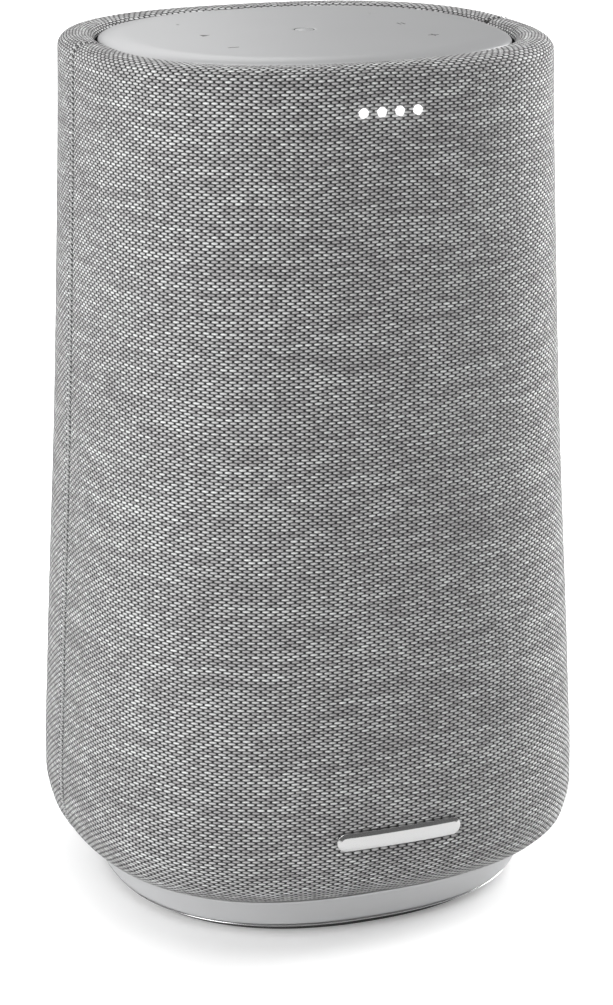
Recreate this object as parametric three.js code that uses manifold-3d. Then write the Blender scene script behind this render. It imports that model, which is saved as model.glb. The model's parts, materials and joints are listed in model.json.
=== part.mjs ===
// Smart speaker: a fabric-covered column with a satin touch plate on top and a flared base ring.
// Millimetres, +Z up, origin at the middle of the footprint on the standing surface.
// The front, with the indicator lights and the badge, faces -Y. The connector panel faces +Y.

import * as THREE from 'three';
import { mergeVertices } from 'three/addons/utils/BufferGeometryUtils.js';
import Module from 'manifold-3d';

const wasm = await Module();
wasm.setup();

// ---- Driving dimensions ----

// Half-width of the body at each height: a flared base, a quick turn-out, then a long taper.
const SIDE_PROFILE = [
  [0, 56.9], [2.5, 57.8], [12, 61.6], [13.4, 64.4], [15, 66.6], [19, 70.0], [28, 71.8],
  [38, 71.7], [52, 71.0], [70, 70.2], [95, 68.9], [130, 67.1], [175, 65.3], [229, 63.6],
  [237, 63.5],
];
const DEPTH_RATIO = 0.936; // half-depth over half-width
const FLOOR_ROUNDNESS = 2.25; // exponent of the cross-section's superellipse at the floor
const SIDE_ROUNDNESS = 2.57; // and from the cover's hem up
const PLATE_ROUNDNESS = 2.4; // and round the touch plate

const RIM_TOP = 236; // crest of the fabric roll round the touch plate
const PLATE_TOP = 236.6;
const PLATE_LEVEL = 229; // from here up, the outline turns into the plate's towards the middle
const PLATE_INSET = 9.8; // touch plate's edge, measured in from the body's side
const PLATE_SHOULDER = 8; // width of the plate's rounded-down edge
const ROLL_START = 232.2; // height where the fabric starts to turn over
const ROLL_WIDTH = 4;
const ROLL_HEIGHT = RIM_TOP - ROLL_START;
const FABRIC = 1.2; // thickness of the cover
const GAP = 0.3; // between pieces that touch
const ROUND_STEPS = 32; // facets round the body
const INNER_STEPS = 24; // and round the pieces inside it
const GRILLE = 2; // wall of the grille shell
const GRILLE_OUT = FABRIC + GAP;
const GRILLE_IN = GRILLE_OUT + GRILLE;

const SLOT_WIDTH = 9;
const SLOT_HEIGHT = 28;
const SLOT_STEP_X = 16;
const SLOT_STEP_Z = 36;

const FOOT_HEIGHT = 1.7;
const BEAD_BOTTOM = 2.1;
const BEAD_TOP = 3.0;
const BASE_TOP = 11.7;
const BASE_WALL = 3;
const BASE_WEB = 2.2;
const COVER_THICK = 2.5;
const BASE_SCREW_X = 28;
const BASE_SCREW_Y = 26;

const SEAM_Y = 4; // the two sewn seams, one on each side

const CABINET_BOTTOM = 52;
const CABINET_TOP = 222;
const CABINET_INSET = 9;
const CABINET_WALL = 3;
const BAFFLE_FRONT = -38;
const BAFFLE_BACK = -34;
const GASKET_BACK = -32.6;
const CABINET_FRONT = -32.3;

const WOOFER_Z = 104;
const WOOFER_RIM = 45;
const WOOFER_FRONT = BAFFLE_FRONT - GAP - 2; // front face of the frame's flange
const WOOFER_CUTOUT = 38.6;
const WOOFER_SCREW_CIRCLE = 41;

const TWEETER_Z = 182;
const TWEETER_RIM = 26;
const TWEETER_FRONT = BAFFLE_FRONT - GAP - 3;
const TWEETER_CUTOUT = 17.4;
const TWEETER_SCREW_X = 21.6;

const LIGHT_Z = 224.3;
const LIGHT_PITCH = 4.9;
const LIGHT_ROW_X = -0.5;
const LIGHT_RADIUS = 1.3;
const LIGHT_COUNT = 4;

const BADGE_Z = 32;
const BADGE_LENGTH = 35.7;
const BADGE_HEIGHT = 5;
const BADGE_PROUD = 0.9;

const MICROPHONE_X = 28;
const MICROPHONE_Y = 21.4;
const DISC_RADIUS = 2.5; // touch disc in the middle of the plate

const PANEL_Z = 30;
const PANEL_WIDTH = 44;
const PANEL_HEIGHT = 24;
const PANEL_CORNER = 5;
const PANEL_INSET = 0.6;
const PANEL_THICK = 3;
const INLET_X = 8.5;
const INLET_WIDTH = 20;
const INLET_HEIGHT = 13;
const PIN_SPACING = 8.6;
const BUTTON_X = -13;
const BUTTON_Z = 34.5;
const BUTTON_RADIUS = 3.4;
const PORT_Z = 24;

// ---- Finishes ----

function finish(color, roughness, metalness) {
  return new THREE.MeshStandardMaterial({ color, roughness, metalness });
}

const FABRIC_GREY = finish(0x9a9b9b, 0.95, 0);
const SATIN_SILVER = finish(0xb9bbbc, 0.35, 0.7);
const BASE_GREY = finish(0x9c9ea0, 0.42, 0.2);
const POLISHED = finish(0xd5d6d8, 0.15, 1);
const RUBBER = finish(0x232425, 0.85, 0);
const BLACK_PLASTIC = finish(0x1d1e20, 0.55, 0);
const GREY_PLASTIC = finish(0x6d6f72, 0.5, 0);
const CLEAR_PLASTIC = finish(0xf4f6f8, 0.2, 0);
const PAPER_BLACK = finish(0x2a2a2c, 0.8, 0);
const STEEL = finish(0xa9abad, 0.4, 1);
const FERRITE = finish(0x3a3a3c, 0.6, 0.2);
const COPPER = finish(0xb87333, 0.35, 1);
const ALUMINIUM = finish(0xb4b6b8, 0.4, 1);
const BOARD_GREEN = finish(0x1f5b3a, 0.55, 0);
const AMBER_CLOTH = finish(0xb07a3c, 0.9, 0);

// ---- The body's outer surface ----

function halfWidth(z) {
  const upper = SIDE_PROFILE.findIndex(([height]) => height >= z);
  const [z0, a0] = SIDE_PROFILE[Math.max(upper - 1, 0)];
  const [z1, a1] = SIDE_PROFILE[Math.max(upper, 1)];
  return a0 + ((a1 - a0) * (z - z0)) / (z1 - z0);
}

// The cross-section is rounder at the floor, and turns into the plate's outline over the roll.
function roundness(z, inset) {
  const rise = Math.min(z / BASE_TOP, 1);
  const side = FLOOR_ROUNDNESS + (SIDE_ROUNDNESS - FLOOR_ROUNDNESS) * rise;
  if (z < PLATE_LEVEL) return side;
  const share = Math.min(Math.max(inset / PLATE_INSET, 0), 1);
  return side + (PLATE_ROUNDNESS - side) * share;
}

function surfacePoint(inset, z, angle) {
  const power = 2 / roundness(z, inset);
  const c = Math.cos(angle);
  const s = Math.sin(angle);
  const x = (halfWidth(z) - inset) * Math.sign(c) * Math.abs(c) ** power;
  const y = (halfWidth(z) * DEPTH_RATIO - inset) * Math.sign(s) * Math.abs(s) ** power;
  return [x, y, z];
}

// Distance from the middle to the surface along Y, at a given X.
function depthAt(x, z, inset) {
  const n = roundness(z, inset);
  const across = Math.abs(x) / (halfWidth(z) - inset);
  return (halfWidth(z) * DEPTH_RATIO - inset) * (1 - across ** n) ** (1 / n);
}

// Heights of the side profile between two levels, for a wall that follows the body. An inner wall
// skips the heights where a straight run stays inside the curve.
const SKIPPED_INSIDE = [13.4, 52, 95];

function wallHeights(low, high, skipped = []) {
  const between = SIDE_PROFILE.map(([z]) => z).filter((z) => z > low + 0.5 && z < high - 0.5);
  return [low, ...between.filter((z) => !skipped.includes(z)), high];
}

// ---- Solids ----

function closedGeometry(positions, indices) {
  let volume = 0;
  for (let i = 0; i < indices.length; i += 3) {
    const [a, b, c] = [0, 1, 2].map((k) => new THREE.Vector3(...positions[indices[i + k]]));
    volume += a.dot(b.cross(c));
  }
  if (volume < 0) indices.reverse();
  const geometry = new THREE.BufferGeometry();
  geometry.setAttribute('position', new THREE.Float32BufferAttribute(positions.flat(), 3));
  geometry.setIndex(indices);
  return geometry;
}

// Sweeps a profile of [inset, z] points round the body. A closed profile makes a ring. An open one
// makes a filled solid, whose ends close on the axis.
function sweep(profile, closed, segments = ROUND_STEPS) {
  const positions = [];
  const indices = [];
  for (const [inset, z] of profile) {
    for (let i = 0; i < segments; i++) {
      positions.push(surfacePoint(inset, z, ((i + 0.5) / segments) * 2 * Math.PI));
    }
  }
  const rows = closed ? profile.length : profile.length - 1;
  for (let row = 0; row < rows; row++) {
    const next = (row + 1) % profile.length;
    for (let i = 0; i < segments; i++) {
      const j = (i + 1) % segments;
      const [a, b] = [row * segments + i, row * segments + j];
      const [c, d] = [next * segments + i, next * segments + j];
      indices.push(a, b, d, a, d, c);
    }
  }
  if (!closed) {
    const bottom = positions.push([0, 0, profile[0][1]]) - 1;
    const top = positions.push([0, 0, profile.at(-1)[1]]) - 1;
    const last = (profile.length - 1) * segments;
    for (let i = 0; i < segments; i++) {
      const j = (i + 1) % segments;
      indices.push(bottom, j, i);
      indices.push(top, last + i, last + j);
    }
  }
  return closedGeometry(positions, indices);
}

const sweepRing = (profile, segments) => sweep(profile, true, segments);
const sweepFilled = (profile, segments) => sweep(profile, false, segments);

// A filled solid that follows the body's side between two heights.
function bodyCore(inset, low, high, segments) {
  return sweepFilled(wallHeights(low, high, SKIPPED_INSIDE).map((z) => [inset, z]), segments);
}

// A turned piece with its axis along Y. Points are [radius, distance behind the front plane].
function turned(points, front, z, segments = 32, x = 0) {
  const profile = points.map(([radius, behind]) => new THREE.Vector2(radius, behind));
  if (points[0][0] > 0) profile.push(profile[0].clone());
  const geometry = new THREE.LatheGeometry(profile, segments);
  geometry.translate(x, front, 0);
  return outward(geometry.translate(0, 0, z));
}

// A turned piece with its axis along Z. Points are [radius, height].
function turnedUpright(points, x, y, segments = 24) {
  const profile = points.map(([radius, height]) => new THREE.Vector2(radius, height));
  if (points[0][0] > 0) profile.push(profile[0].clone());
  const geometry = new THREE.LatheGeometry(profile, segments);
  geometry.rotateX(Math.PI / 2);
  return outward(geometry.translate(x, y, 0));
}

function outward(geometry) {
  geometry.deleteAttribute('normal');
  geometry.deleteAttribute('uv');
  const merged = mergeVertices(geometry, 1e-4);
  const position = merged.getAttribute('position');
  const points = [];
  for (let i = 0; i < position.count; i++) {
    points.push([position.getX(i), position.getY(i), position.getZ(i)]);
  }
  const index = Array.from(merged.getIndex().array);
  const kept = [];
  for (let i = 0; i < index.length; i += 3) {
    const [a, b, c] = index.slice(i, i + 3);
    if (a !== b && b !== c && c !== a) kept.push(a, b, c);
  }
  return closedGeometry(points, kept);
}

function box(low, high) {
  const size = high.map((value, axis) => value - low[axis]);
  const geometry = new THREE.BoxGeometry(...size);
  return outward(geometry.translate(...low.map((value, axis) => value + size[axis] / 2)));
}

function cylinderY(radius, low, high, x, z, segments = 20) {
  return turned([[0, 0], [radius, 0], [radius, high - low], [0, high - low]], low, z, segments, x);
}

function cylinderZ(radius, low, high, x, y, segments = 20) {
  return turnedUpright([[0, low], [radius, low], [radius, high], [0, high]], x, y, segments);
}

// A rounded rectangle in the XZ plane, drawn out along Y.
function roundedBar(width, height, radius, x, z, low, high, steps = 4) {
  const [w, h] = [width / 2 - radius, height / 2 - radius];
  const shape = new THREE.Shape();
  shape.absarc(w, h, radius, 0, Math.PI / 2, false);
  shape.absarc(-w, h, radius, Math.PI / 2, Math.PI, false);
  shape.absarc(-w, -h, radius, Math.PI, 1.5 * Math.PI, false);
  shape.absarc(w, -h, radius, 1.5 * Math.PI, 2 * Math.PI, false);
  const depth = high - low;
  const options = { depth, bevelEnabled: false, curveSegments: steps };
  const geometry = new THREE.ExtrudeGeometry(shape, options);
  geometry.rotateX(Math.PI / 2);
  return outward(geometry.translate(x, high, z));
}

// ---- Joining and cutting ----

function toSolid(geometry) {
  const merged = mergeVertices(geometry, 1e-5);
  const vertProperties = new Float32Array(merged.getAttribute('position').array);
  const triVerts = new Uint32Array(merged.getIndex().array);
  return new wasm.Manifold(new wasm.Mesh({ numProp: 3, vertProperties, triVerts }));
}

function toGeometry(solid) {
  const mesh = solid.getMesh();
  const geometry = new THREE.BufferGeometry();
  geometry.setAttribute('position', new THREE.BufferAttribute(mesh.vertProperties, 3));
  geometry.setIndex(new THREE.BufferAttribute(mesh.triVerts, 1));
  return geometry;
}

function cut(geometry, ...cutters) {
  const whole = toSolid(geometry);
  return toGeometry(cutters.reduce((solid, cutter) => solid.subtract(toSolid(cutter)), whole));
}

function join(geometry, ...others) {
  return toGeometry(others.reduce((solid, other) => solid.add(toSolid(other)), toSolid(geometry)));
}

function overlap(geometry, other) {
  return toGeometry(toSolid(geometry).intersect(toSolid(other)));
}

const FAR = 200;

// Keeps the part of a solid between two planes across Y.
function sliceY(geometry, low, high) {
  return overlap(geometry, box([-FAR, low, -FAR], [FAR, high, 2 * FAR]));
}

const speaker = new THREE.Group();

function part(name, geometry, material) {
  const mesh = new THREE.Mesh(geometry, material);
  mesh.name = name;
  speaker.add(mesh);
}

// ---- Screws ----

// A pan-head screw pointing along +Z, its head's seat at the origin.
function screwGeometry(head, shaft, length) {
  const outline = [[0, -0.5 * head], [0.8 * head, -0.5 * head], [head, -0.15 * head], [head, 0]];
  outline.push([shaft, 0], [shaft, length], [0, length]);
  const body = turnedUpright(outline, 0, 0, 8);
  const [wing, half] = [0.55 * head, 0.12 * head];
  const bottom = -0.28 * head;
  const slot = box([-wing, -half, -head], [wing, half, bottom]);
  const crossSlot = box([-half, -wing, -head], [half, wing, bottom]);
  return cut(body, slot, crossSlot);
}

// ---- Base ----

function basePosts() {
  return [-1, 1].flatMap((sx) => [-1, 1].map((sy) => [sx * BASE_SCREW_X, sy * BASE_SCREW_Y]));
}

const PSU_BOTTOM = 19;
const PSU_HALF_X = 36;
const PSU_LOW_Y = -40;
const PSU_HIGH_Y = 20;

function basePlinth() {
  const wall = BASE_WALL;
  const webBottom = BASE_TOP - BASE_WEB;
  const bottom = BEAD_TOP + GAP;
  const outer = [[0.35, bottom], [0, bottom + 0.5], [0.1, BASE_TOP - 0.8], [0.7, BASE_TOP]];
  const shell = sweepFilled(outer);
  const hollow = sweepFilled([[wall, bottom - 1], [wall, webBottom]]);
  const postBottom = BEAD_BOTTOM + COVER_THICK + GAP;
  const posts = basePosts().map(([x, y]) => cylinderZ(4, postBottom, webBottom + 1, x, y, 16));
  const standoffPlaces = [-1, 1].flatMap((side) =>
    [PSU_LOW_Y + 8, PSU_HIGH_Y - 8].map((y) => [side * (PSU_HALF_X - 6), y]));
  const standoffs = standoffPlaces.map(([x, y]) =>
    cylinderZ(3, BASE_TOP - 1, PSU_BOTTOM - GAP, x, y, 12));
  const pilots = basePosts().map(([x, y]) => cylinderZ(1.6, 0, BASE_TOP - 1, x, y, 12));
  const cableHole = cylinderZ(9, 0, BASE_TOP + 2, 0, 34, 20);
  return cut(join(cut(shell, hollow), ...posts, ...standoffs), ...pilots, cableHole);
}

function bottomCover() {
  const top = BEAD_BOTTOM + COVER_THICK;
  const plate = sweepFilled([[3.4, BEAD_BOTTOM - 0.1], [3.4, top]]);
  const holes = basePosts().map(([x, y]) => cylinderZ(1.9, 0, top + 1, x, y, 12));
  const recesses = basePosts().map(([x, y]) => cylinderZ(3.6, 0, BEAD_BOTTOM + 1, x, y, 12));
  return cut(plate, ...holes, ...recesses);
}

part('base_plinth', basePlinth(), BASE_GREY);
part('base_trim_ring', sweepRing([
  [2.7, BEAD_BOTTOM], [0.3, BEAD_BOTTOM], [-0.1, (BEAD_BOTTOM + BEAD_TOP) / 2], [0.2, BEAD_TOP],
  [2.7, BEAD_TOP],
]), POLISHED);
part('bottom_cover', bottomCover(), BLACK_PLASTIC);
part('foot_ring', sweepRing([
  [9, FOOT_HEIGHT], [9, 0], [2.8, 0], [2.4, 0.4], [2.4, FOOT_HEIGHT],
]), RUBBER);

basePosts().forEach(([x, y], i) => {
  const screw = screwGeometry(2.9, 1.3, 6);
  part(`base_screw_${i + 1}`, screw.translate(x, y, BEAD_BOTTOM + 1 - GAP), STEEL);
});

// ---- Fabric cover and grille ----

// Points over the top roll, for a layer a given distance under the fabric's outer face.
function rollPoints(under, steps) {
  const points = [];
  for (let i = 0; i <= steps; i++) {
    const angle = (i / steps) * (Math.PI / 2);
    const inset = ROLL_WIDTH - (ROLL_WIDTH - under) * Math.cos(angle);
    points.push([inset, ROLL_START + (ROLL_HEIGHT - under) * Math.sin(angle)]);
  }
  return points;
}

function fabricSleeve() {
  const hem = BASE_TOP + 2 * GAP;
  const outside = wallHeights(hem, ROLL_START).slice(0, -1).map((z) => [0, z]);
  const inside = wallHeights(hem, ROLL_START, SKIPPED_INSIDE).slice(0, -1).map((z) => [FABRIC, z]);
  const lip = [[7.4, RIM_TOP - 0.3], [8.6, RIM_TOP - 1.2], [9.0, RIM_TOP - 2.9]];
  const lipInside = [[7.8, RIM_TOP - 2.9], [7.6, RIM_TOP - 1.8], [6.4, RIM_TOP - 1.4]];
  const profile = [...outside, ...rollPoints(0, 4), ...lip, ...lipInside];
  profile.push(...rollPoints(FABRIC, 3).reverse(), ...inside.reverse());
  return sweepRing(profile);
}

function panelWindow(clearance) {
  const grown = 2 * clearance;
  const radius = PANEL_CORNER + clearance;
  return roundedBar(PANEL_WIDTH + grown, PANEL_HEIGHT + grown, radius, 0, PANEL_Z, 30, 90);
}

function badgeWindow(clearance) {
  const grown = 2 * clearance;
  const radius = BADGE_HEIGHT / 2 + clearance - 0.01;
  return roundedBar(BADGE_LENGTH + grown, BADGE_HEIGHT + grown, radius, 0, BADGE_Z, -90, -30, 5);
}

const lightPlaces = Array.from({ length: LIGHT_COUNT }, (_, i) =>
  LIGHT_ROW_X + (i - (LIGHT_COUNT - 1) / 2) * LIGHT_PITCH);

function grilleShell() {
  const bottom = BASE_TOP + GAP;
  const heights = wallHeights(bottom, ROLL_START, SKIPPED_INSIDE).slice(0, -1);
  const outside = heights.map((z) => [GRILLE_OUT, z]);
  const inside = heights.map((z) => [GRILLE_IN, z]);
  const lip = [
    [6.3, RIM_TOP - 1.8], [7.2, RIM_TOP - 2.4], [7.3, RIM_TOP - 4.5], [4.5, RIM_TOP - 4.8],
    [GRILLE_IN, RIM_TOP - 5.8],
  ];
  const profile = [...outside, ...rollPoints(GRILLE_OUT, 3), ...lip, ...inside.reverse()];
  const slots = [];
  for (let z = 70; z <= 190; z += SLOT_STEP_Z) {
    for (let x = -2 * SLOT_STEP_X; x <= 2 * SLOT_STEP_X; x += SLOT_STEP_X) {
      const [halfWide, halfHigh] = [SLOT_WIDTH / 2, SLOT_HEIGHT / 2];
      slots.push(box([x - halfWide, -90, z - halfHigh], [x + halfWide, -30, z + halfHigh]));
    }
  }
  const lightHoles = lightPlaces.map((x) =>
    cylinderY(LIGHT_RADIUS + GAP + 0.2, -90, -40, x, LIGHT_Z, 8));
  return cut(sweepRing(profile), ...slots, ...lightHoles, panelWindow(0.5));
}

const sleeve = fabricSleeve();
const frontHalf = sliceY(sleeve, -FAR, SEAM_Y - GAP / 2);
const rearHalf = sliceY(sleeve, SEAM_Y + GAP / 2, FAR);
part('fabric_front', cut(frontHalf, badgeWindow(0.4)), FABRIC_GREY);
part('fabric_rear', cut(rearHalf, panelWindow(0.5)), FABRIC_GREY);
part('grille_shell', grilleShell(), BLACK_PLASTIC);

function badge() {
  const low = BADGE_Z - BADGE_HEIGHT;
  const high = BADGE_Z + BADGE_HEIGHT;
  const wall = sweepRing([[-BADGE_PROUD, low], [-BADGE_PROUD, high], [FABRIC, high], [FABRIC, low]]);
  return overlap(wall, badgeWindow(0));
}

part('badge', badge(), POLISHED);

// ---- Top plate and touch controls ----

const PLATE_BOTTOM = 231;
const PLATE_UNDER = PLATE_TOP - 2.6; // the plate's inner face

function topPlate() {
  const shoulder = [];
  const steps = 3;
  for (let i = 0; i <= steps; i++) {
    const angle = (i / steps) * (Math.PI / 2);
    const inset = PLATE_INSET + PLATE_SHOULDER * (1 - Math.cos(angle));
    shoulder.push([inset, PLATE_TOP - 2.4 + 2.4 * Math.sin(angle)]);
  }
  const edge = [[PLATE_INSET + 0.4, PLATE_BOTTOM], [PLATE_INSET, PLATE_BOTTOM + 0.6]];
  const plate = sweepFilled([...edge, ...shoulder]);
  const wall = PLATE_INSET + 2;
  const hollow = sweepFilled([
    [wall, PLATE_BOTTOM - 1], [wall, PLATE_UNDER - 1], [wall + 2, PLATE_UNDER],
  ]);
  const discHole = cylinderZ(DISC_RADIUS + GAP, PLATE_UNDER - 1, PLATE_TOP + 1, 0, 0, 20);
  const holes = [-1, 1].map((side) =>
    cylinderZ(0.5, PLATE_UNDER - 1, PLATE_TOP + 1, side * MICROPHONE_X, MICROPHONE_Y, 10));
  return cut(plate, hollow, discHole, ...holes);
}

const TOUCH_BOARD_TOP = PLATE_UNDER - 1.9;
const TOUCH_BOARD_BOTTOM = TOUCH_BOARD_TOP - 1.2;
const CARRIER_BOTTOM = 227;
const CARRIER_TOP = 229.4;
const CARRIER_RIM = PLATE_BOTTOM - 0.4; // raised ring the plate rests on

part('top_plate', topPlate(), SATIN_SILVER);
part('touch_disc', turnedUpright([
  [0, TOUCH_BOARD_TOP + GAP], [DISC_RADIUS + 1, TOUCH_BOARD_TOP + GAP],
  [DISC_RADIUS + 1, PLATE_UNDER - GAP], [DISC_RADIUS, PLATE_UNDER - GAP],
  [DISC_RADIUS, PLATE_TOP - 0.05], [0, PLATE_TOP - 0.05],
], 0, 0, 20), SATIN_SILVER);
part('touch_board', sweepFilled([
  [14, TOUCH_BOARD_BOTTOM], [14, TOUCH_BOARD_TOP],
], INNER_STEPS), BOARD_GREEN);
part('top_carrier', sweepFilled([
  [5.2, CARRIER_BOTTOM], [5.2, CARRIER_TOP], [10.7, CARRIER_TOP], [10.7, CARRIER_RIM],
  [13.7, CARRIER_RIM], [13.7, CARRIER_TOP],
], INNER_STEPS), BLACK_PLASTIC);

[['left', -1], ['right', 1]].forEach(([side, sign]) => {
  const x = sign * MICROPHONE_X;
  const low = [x - 1.9, MICROPHONE_Y - 1.5, TOUCH_BOARD_TOP + GAP];
  const high = [x + 1.9, MICROPHONE_Y + 1.5, PLATE_UNDER - GAP];
  const port = cylinderZ(0.4, high[2] - 0.6, high[2] + 1, x, MICROPHONE_Y, 10);
  part(`microphone_${side}`, cut(box(low, high), port), STEEL);
});

// ---- Indicator lights ----

const LIGHT_BOARD_FRONT = -(depthAt(0, LIGHT_Z, 5) - 0.2);

lightPlaces.forEach((x, i) => {
  const front = -depthAt(x, LIGHT_Z, GRILLE_OUT + 0.15);
  const collar = LIGHT_BOARD_FRONT - GAP - front;
  const guide = turned([
    [0, 0], [LIGHT_RADIUS - 0.3, 0], [LIGHT_RADIUS, 0.3], [LIGHT_RADIUS, collar], [0, collar],
  ], front, LIGHT_Z, 8, x);
  part(`light_guide_${i + 1}`, guide, CLEAR_PLASTIC);
});

part('light_board', box(
  [LIGHT_ROW_X - 13, LIGHT_BOARD_FRONT, LIGHT_Z - 4.6],
  [LIGHT_ROW_X + 13, LIGHT_BOARD_FRONT + 1.2, LIGHT_Z + 2.4],
), BOARD_GREEN);

// ---- Speaker cabinet ----

const wooferScrewAngles = [45, 135, 225, 315].map((degrees) => (degrees * Math.PI) / 180);
const wooferScrewPlaces = wooferScrewAngles.map((angle) => [
  WOOFER_SCREW_CIRCLE * Math.cos(angle), WOOFER_Z + WOOFER_SCREW_CIRCLE * Math.sin(angle),
]);
const tweeterScrewPlaces = [[-TWEETER_SCREW_X, TWEETER_Z], [TWEETER_SCREW_X, TWEETER_Z]];

const MAIN_BOARD_TOP = 46.6;
const mainBoardPosts = [[-30, -20], [30, -20], [-30, 24], [30, 24]];

function cabinetWall(low, high) {
  const outer = bodyCore(CABINET_INSET, CABINET_BOTTOM, CABINET_TOP, INNER_STEPS);
  const [floor, ceiling] = [CABINET_BOTTOM + CABINET_WALL, CABINET_TOP - CABINET_WALL];
  const inner = bodyCore(CABINET_INSET + CABINET_WALL, floor, ceiling, INNER_STEPS);
  return sliceY(cut(outer, inner), low, high);
}

function cabinetShell() {
  const tub = cabinetWall(CABINET_FRONT, FAR);
  const posts = mainBoardPosts.map(([x, y]) =>
    cylinderZ(3, MAIN_BOARD_TOP + GAP, CABINET_BOTTOM + 1, x, y, 12));
  return join(tub, ...posts);
}

function frontBaffle() {
  const core = bodyCore(CABINET_INSET, CABINET_BOTTOM, CABINET_TOP, INNER_STEPS);
  const slab = sliceY(core, BAFFLE_FRONT, BAFFLE_BACK);
  const wooferHole = cylinderY(WOOFER_CUTOUT, -60, 0, 0, WOOFER_Z, 32);
  const tweeterHole = cylinderY(TWEETER_CUTOUT, -60, 0, 0, TWEETER_Z, 24);
  const pilots = [...wooferScrewPlaces, ...tweeterScrewPlaces].map(([x, z]) =>
    cylinderY(1.6, -60, 0, x, z, 10));
  return cut(slab, wooferHole, tweeterHole, ...pilots);
}

part('cabinet_shell', cabinetShell(), BLACK_PLASTIC);
part('front_baffle', frontBaffle(), BLACK_PLASTIC);
part('baffle_gasket', cabinetWall(BAFFLE_BACK + GAP, GASKET_BACK), RUBBER);

// ---- Woofer: distances run back from the front face of its frame ----

const woofer = (points, segments) => turned(points, WOOFER_FRONT, WOOFER_Z, segments);

function wooferFrame() {
  const basket = woofer([
    [36.8, 0], [WOOFER_RIM, 0], [WOOFER_RIM, 2], [38, 2], [37.6, 7], [24.6, 24.5], [24.6, 27],
    [19, 27], [19, 24.5], [22.6, 24.5], [35.8, 7], [36.8, 2],
  ], 24);
  const windows = [0, 1, 2, 3].map((quarter) => {
    const opening = box([-11, WOOFER_FRONT + 9, 22], [11, WOOFER_FRONT + 22, 45]);
    return opening.rotateY((quarter * Math.PI) / 2).translate(0, 0, WOOFER_Z);
  });
  const holes = wooferScrewPlaces.map(([x, z]) => cylinderY(1.7, -60, 0, x, z, 10));
  return cut(basket, ...windows, ...holes);
}

part('woofer_frame', wooferFrame(), BLACK_PLASTIC);
part('woofer_cone', woofer([[31.6, 3.2], [31.6, 4.2], [11.1, 15.2], [11.1, 14]], 24), PAPER_BLACK);
part('woofer_dust_cap', woofer([
  [0, 8.8], [5, 9.3], [8, 10.6], [10.3, 12.4], [10.3, 13.2], [7.8, 11.5], [5, 10.2], [0, 9.7],
], 24), PAPER_BLACK);
part('woofer_surround', woofer([
  [32, 3.6], [32, 2.4], [32.6, 1], [34.1, 0.2], [35.6, 1], [36.1, 2.4], [36.1, 3.6], [35.3, 3.6],
  [35.3, 2.6], [34.1, 1.2], [32.8, 2.6], [32.8, 3.6],
], 20), RUBBER);
part('woofer_spider', woofer([
  [11.2, 18], [15, 18.9], [19, 18], [23, 18.9], [26.6, 18], [26.6, 18.8], [23, 19.7], [19, 18.8],
  [15, 19.7], [11.2, 18.8],
], 20), AMBER_CLOTH);
part('woofer_voice_coil', woofer([[9.9, 13.6], [10.7, 13.6], [10.7, 33], [9.9, 33]], 24), COPPER);
part('woofer_pole_plate', woofer([[11.2, 27.3], [25, 27.3], [25, 31.3], [11.2, 31.3]], 24), STEEL);
part('woofer_magnet', woofer([[14, 31.6], [27, 31.6], [27, 41.6], [14, 41.6]], 24), FERRITE);
part('woofer_yoke', woofer([
  [0, 27.5], [9.4, 27.5], [9.4, 41.9], [24, 41.9], [24, 45.9], [0, 45.9],
], 24), STEEL);

wooferScrewPlaces.forEach(([x, z], i) => {
  const screw = screwGeometry(2.8, 1.3, 5.6).rotateX(-Math.PI / 2);
  part(`woofer_screw_${i + 1}`, screw.translate(x, WOOFER_FRONT - GAP, z), STEEL);
});

// ---- Tweeter ----

const tweeter = (points, segments) => turned(points, TWEETER_FRONT, TWEETER_Z, segments);

function tweeterFaceplate() {
  const ring = tweeter([
    [13.2, 3], [13.8, 1.8], [17, 0.7], [21, 0], [TWEETER_RIM, 0], [TWEETER_RIM, 3],
  ], 24);
  return cut(ring, ...tweeterScrewPlaces.map(([x, z]) => cylinderY(1.7, -60, 0, x, z, 10)));
}

part('tweeter_faceplate', tweeterFaceplate(), BLACK_PLASTIC);
part('tweeter_dome', tweeter([
  [0, 0.6], [5, 1.2], [9, 2.5], [12.7, 4.4], [12.7, 5], [8.6, 3.3], [5, 2], [0, 1.4],
], 20), ALUMINIUM);
part('tweeter_magnet', tweeter([
  [0, 5.8], [13.4, 5.8], [13.4, 3.4], [16.6, 3.4], [16.6, 20], [0, 20],
], 20), FERRITE);

tweeterScrewPlaces.forEach(([x, z], i) => {
  const screw = screwGeometry(2.8, 1.3, 6).rotateX(-Math.PI / 2);
  part(`tweeter_screw_${i + 1}`, screw.translate(x, TWEETER_FRONT - GAP, z), STEEL);
});

// ---- Electronics under the cabinet ----

const PSU_TOP = PSU_BOTTOM + 1.6;

part('power_supply_board', box(
  [-PSU_HALF_X, PSU_LOW_Y, PSU_BOTTOM], [PSU_HALF_X, PSU_HIGH_Y, PSU_TOP],
), BOARD_GREEN);

function transformer() {
  const base = PSU_TOP + GAP;
  const core = box([-32, -24, base], [-8, -2, base + 17]);
  const winding = box([-29, -29, base + 3], [-11, 3, base + 14]);
  return join(core, winding);
}

part('transformer', transformer(), FERRITE);

[-26, -8].forEach((y, i) => {
  const base = PSU_TOP + GAP;
  part(`capacitor_${i + 1}`, turnedUpright([
    [0, base], [6, base], [6, base + 2], [5.6, base + 2.6], [6, base + 3.2], [6, base + 19.4],
    [5.4, base + 20], [0, base + 20],
  ], 4, y, 14), BLACK_PLASTIC);
});

const MAIN_BOARD_BOTTOM = MAIN_BOARD_TOP - 1.6;

part('main_board', box([-40, -32, MAIN_BOARD_BOTTOM], [40, 34, MAIN_BOARD_TOP]), BOARD_GREEN);

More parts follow.
